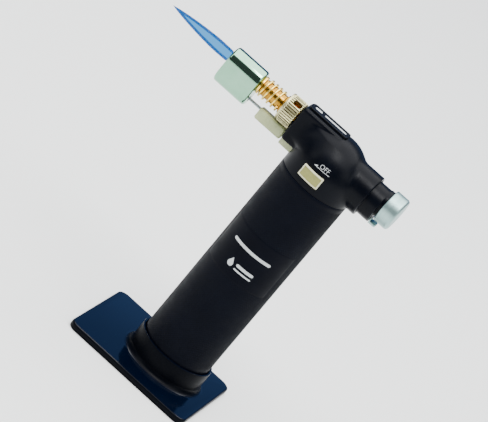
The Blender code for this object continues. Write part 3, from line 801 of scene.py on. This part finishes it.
mixer = revolve("mixer_fine",
                fillet([(5.2, -35.7), (5.2, -26.8), (4.3, -26.8), (4.3, -13.8), (2.2, -13.8), (2.2, -34.0),
                        (3.45, -34.0), (3.45, -35.7)],
                       [0.4, 0.2, 0, 0.2, 0, 0, 0, 0.15], 3), 'X', BURNER_AXIS, 96)
hole = box("air_hole", (-31.15, -1.2, 3.0), (-27.75, 1.2, 9.0), 0.6, 3)
AIR_PLACE = Matrix.Translation((0, 0, BURNER_Z * MM)) @ Matrix.Rotation(pi / 2 - AIR_TURN, 4, 'X')
hole.data.transform(AIR_PLACE)
combine(mixer, hole)
# Painted shade: the mixer takes the darkened brass copy.
finish_piece(mixer, "torch", brass_painted_shade, ["mixer_body"])


def knurled_ring():
    """Air ring with straight rounded grooves, a plain front band and chamfered ends."""
    teeth, fine = 36, 10
    count = teeth * fine
    shape = [0.5 * max(0.0, cos(2 * pi * ((i % fine) / fine - 0.5))) ** 0.8 for i in range(count)]
    rows = [(0.5, -34.7, 0.0), (0.15, -34.6, 0.0), (0.0, -34.35, 0.0), (0.0, -33.75, 0.0), (0.05, -33.6, 0.1),
            (0.05, -33.2, 0.8), (0.0, -32.9, 1.0), (0.0, -27.2, 1.0), (0.0, -26.85, 0.8), (0.15, -26.55, 0.4),
            (0.45, -26.4, 0.0)]
    loops = [[(x, (7.65 - d - k * g) * cos(2 * pi * i / count),
               (7.65 - d - k * g) * sin(2 * pi * i / count) + BURNER_Z)
              for i, g in enumerate(shape)] for d, x, k in rows]
    for x in (-26.4, -34.7):
        loops.append([(x, 5.55 * cos(2 * pi * i / count), 5.55 * sin(2 * pi * i / count) + BURNER_Z)
                      for i in range(count)])
    return loft("air_ring_fine", loops, closed=True)


ring = knurled_ring()
window = box("window", (-31.8, -1.6, 4.5), (-27.1, 1.6, 9.0), 1.2, 4)
window.data.transform(AIR_PLACE)
combine(ring, window)
finish_piece(ring, "air_ring", nickel, ["air_ring"], 40)
# Painted shade: faces down in the ring's grooves take the dark groove material.
ring.data.materials.append(groove_painted_shade)
for poly in ring.data.polygons:
    r = hypot(poly.center.y, poly.center.z - BURNER_Z * MM) / MM
    if 6.0 < r < 7.42 and -33.4 < poly.center.x / MM < -26.9:
        poly.material_index = 1

burner = revolve("burner_tube_fine", fillet([(3.15, -64.5), (3.15, -48.1), (4.1, -48.1), (4.1, -36.0),
                                             (3.15, -36.0), (3.15, -34.3),
                                            (2.5, -34.3), (2.5, -64.5)], 0.15, 2), 'X',
                 BURNER_AXIS, 64)
# Painted shade: the burner tube takes the darkened brass copy.
finish_piece(burner, "torch", brass_painted_shade, ["burner_tube"])

coil_points = [(-36.6 - 2.6 * i / 40, 4.87 * cos(radians(200) + 2 * pi * i / 40),
                BURNER_Z + 4.87 * sin(radians(200) + 2 * pi * i / 40)) for i in range(168)]
# Painted highlight: the coil takes the lighter brass copy.
finish_piece(tube("heat_coil_fine", coil_points, 0.52, 14), "torch", brass_painted_highlight, ["heat_coil"])

nut = revolve("guard_nut_fine",
              fillet([(4.9, -49.6), (4.9, -48.4), (3.45, -48.4), (3.45, -49.6)], 0.25, 3),
              'X', BURNER_AXIS, 64)
finish_piece(nut, "torch", brass, ["guard_nut"])

holder = revolve("flame_holder_fine",
                 fillet([(4.2, -66.5), (4.2, -58.0), (3.45, -58.0), (3.45, -64.8), (1.6, -64.8),
                         (1.6, -66.5)],
                        [0.5, 0.2, 0, 0, 0, 0.2], 3), 'X', BURNER_AXIS, 64)
for k in range(10):
    a = 2 * pi * k / 10
    pin = revolve("port", [(0, -68.0), (0.32, -68.0), (0.32, -64.0), (0, -64.0)], 'X',
                  (0, 2.6 * cos(a), BURNER_Z + 2.6 * sin(a)), 12, closed=False)
    combine(holder, pin)
finish_piece(holder, "torch", holder_steel, ["flame_holder"])


def oblong(inset, x, seg=28):
    r = GUARD_R - inset
    pts = [(x, r * cos(pi * k / seg), BURNER_Z + r * sin(pi * k / seg)) for k in range(seg + 1)]
    return pts + [(x, -r * cos(pi * k / seg), GUARD_LOW_Z - r * sin(pi * k / seg)) for k in range(seg + 1)]


end = [(1.3 - 1.3 * sin(radians(a)), 1.3 - 1.3 * cos(radians(a))) for a in range(0, 91, 15)]
guard = loft("flame_guard_fine", [oblong(d, GUARD_X0 + s) for d, s in end]
             + [oblong(d, GUARD_X1 - s) for d, s in reversed(end)])
combine(guard, loft("guard_inside", [oblong(1.15, GUARD_X0 - 0.5), oblong(1.0, GUARD_X0 + 0.4),
                                     oblong(0.8, GUARD_X0 + 0.9), oblong(0.8, GUARD_X1 - 1.7),
                                     oblong(1.3, GUARD_X1 - 1.1)]))
combine(guard, revolve("guard_hole", [(0, -54), (3.45, -54), (3.45, -48), (0, -48)], 'X', BURNER_AXIS, 48,
                       closed=False))
combine(guard, revolve("rod_hole", [(0, -54), (1.7, -54), (1.7, -48), (0, -48)], 'X', (0, 0, ROD_Z), 32,
                       closed=False))
finish_piece(guard, "torch", chrome, ["flame_guard"], 40)

block = box("insulator_fine", (-42.6, -2.5, 128.7), (-26.4, 2.5, 135.0), 1.1, 5)
combine(block, box("insulator_tail", (-28.0, -1.6, 132.7), (-20.5, 1.6, 134.7), 0.2, 2), 'UNION')
combine(block, revolve("rod_bore", [(0, -46), (1.0, -46), (1.0, -18), (0, -18)], 'X', (0, 0, ROD_Z), 24,
                       closed=False))
finish_piece(block, "torch", ceramic, ["electrode_insulator"])

rod = tube("electrode_rod_fine", bend([(-20.2, 0, ROD_Z), (-60.5, 0, ROD_Z), (-64.8, 0, 137.4),
                                       (-66.2, 0, 137.4)],
                                      1.2, 8), 0.7, 14, lambda t: 1.0 if t < 0.98 else 0.6)
finish_piece(rod, "torch", rod_steel, ["electrode_rod"])

spring_points = [(8.5 + 1.95 * i / 30, 8.75 * cos(2 * pi * i / 30), BARREL_Z + 8.75 * sin(2 * pi * i / 30))
                 for i in range(121)]
finish_piece(tube("button_spring_fine", spring_points, 0.35, 8), "torch", steel, ["button_spring"])

# Inner pieces keep their CAD shape
for node, look in {"fuel_tank": steel, "tank_seal_ring": rubber, "fill_valve_body": brass_dull,
                   "fill_valve_stem": brass, "valve_filter": felt, "regulator_column": brass_dull,
                   "gas_pipe": steel, "gas_jet": brass_dull, "piezo_body": ivory, "piezo_slider": ivory,
                   "igniter_lead": lead_red}.items():
    obj = frame["nodes"][node]
    obj.data.materials.clear()
    obj.data.materials.append(look)

# ---------------------------------------------------------------- flame, a stage effect

def glow(name, colour, strength, alpha):
    mat = bpy.data.materials.new(name)
    mat.use_nodes = True
    nodes, links = mat.node_tree.nodes, mat.node_tree.links
    nodes.clear()
    out = nodes.new('ShaderNodeOutputMaterial')
    mix = nodes.new('ShaderNodeMixShader')
    clear = nodes.new('ShaderNodeBsdfTransparent')
    emit = nodes.new('ShaderNodeEmission')
    emit.inputs['Color'].default_value = (*colour, 1.0)
    emit.inputs['Strength'].default_value = strength
    mix.inputs['Fac'].default_value = alpha
    links.new(clear.outputs[0], mix.inputs[1])
    links.new(emit.outputs[0], mix.inputs[2])
    links.new(mix.outputs[0], out.inputs['Surface'])
    return mat


def flame(name, radius, start, tip, look):
    pts = [(0.0, start)]
    for i in range(1, 24):
        u = i / 24
        pts.append((radius * min(1.0, 0.86 + 0.5 * u) * (1 - u ** 1.9) ** 0.85, start + (tip - start) * u))
    pts.append((0.0, tip))
    obj = revolve(name, pts, 'X', BURNER_AXIS, 40, closed=False)
    obj.data.shade_smooth()
    obj.data.materials.append(look)
    obj.parent = frame["bodies"]["torch"]
    return obj


blue = glow("flame_blue", (0.0, 0.15, 0.60), 1.0, 0.66)
flame("flame_outer", 3.45, -68.6, -106.5, blue)
flame("flame_middle", 3.1, -68.65, -105.5, blue)
flame("flame_core", 1.9, -68.7, -99.5, glow("flame_light", (0.45, 1.55, 2.4), 2.6, 0.95))

# ---------------------------------------------------------------- floor, light, camera

floor = loft("floor", [[(-4000, -4000, z), (4000, -4000, z), (4000, 4000, z), (-4000, 4000, z)]
                       for z in (-20.0, -0.15)])
paint = bpy.data.materials.new("floor_paint")
paint.use_nodes = True
paint.node_tree.nodes['Principled BSDF'].inputs['Base Color'].default_value = (0.86, 0.87, 0.86, 1.0)
paint.node_tree.nodes['Principled BSDF'].inputs['Roughness'].default_value = 0.9
paint.node_tree.nodes['Principled BSDF'].inputs['Specular IOR Level'].default_value = 0.0
floor.data.materials.append(paint)

world = bpy.data.worlds.new("studio")
bpy.context.scene.world = world
world.use_nodes = True
world.node_tree.nodes['Background'].inputs['Color'].default_value = (0.75, 0.82, 0.85, 1.0)
world.node_tree.nodes['Background'].inputs['Strength'].default_value = 0.12


def softbox(name, place, aim, size, power, colour=(1, 1, 1)):
    data = bpy.data.lights.new(name, 'AREA')
    data.shape = 'RECTANGLE'
    data.size, data.size_y = size
    data.energy = power
    data.color = colour
    obj = bpy.data.objects.new(name, data)
    bpy.context.scene.collection.objects.link(obj)
    obj.location = place
    obj.rotation_euler = (Vector(aim) - Vector(place)).to_track_quat('-Z', 'Y').to_euler()
    return obj


softbox("top_light", (0.0, 0.1, 1.6), (0, 0, 0.08), (2.6, 2.6), 112)
softbox("key_light", (0.10, -0.62, 1.45), (0, 0, 0.12), (0.5, 0.5), 12)
softbox("left_light", (-1.5, -1.1, 1.0), (0, 0, 0.1), (0.9, 1.2), 9, (0.95, 0.98, 1.0))
softbox("right_light", (1.6, -0.5, 1.1), (0, 0, 0.1), (0.9, 1.2), 9, (0.95, 0.98, 1.0))
softbox("back_light", (-0.2, 1.7, 0.66), (0, 0, 0.02), (3.2, 1.0), 3.4, (0.0, 0.26, 1.0))

AZIMUTH, ELEVATION, ROLL = radians(6.70), radians(19.81), radians(39.74)
TARGET = Vector((-17.47, 0.0, 89.72)) * MM
DISTANCE, PX_PER_MM, WIDTH = 1.839, 2.0959, 488
back = Vector((sin(AZIMUTH) * cos(ELEVATION), -cos(AZIMUTH) * cos(ELEVATION), sin(ELEVATION)))
right = Vector((cos(AZIMUTH), sin(AZIMUTH), 0))
up = back.cross(right)
cam_right = right * cos(ROLL) + up * sin(ROLL)
cam_up = up * cos(ROLL) - right * sin(ROLL)
camera = bpy.data.objects.new("camera", bpy.data.cameras.new("camera"))
bpy.context.scene.collection.objects.link(camera)
camera.matrix_world = Matrix.Translation(TARGET + back * DISTANCE) @ Matrix(
    (cam_right, cam_up, back)).transposed().to_4x4()
camera.data.sensor_width = 36.0
camera.data.lens = PX_PER_MM * DISTANCE / MM * 36.0 / WIDTH
camera.data.clip_start, camera.data.clip_end = 0.05, 30.0
bpy.context.scene.camera = camera
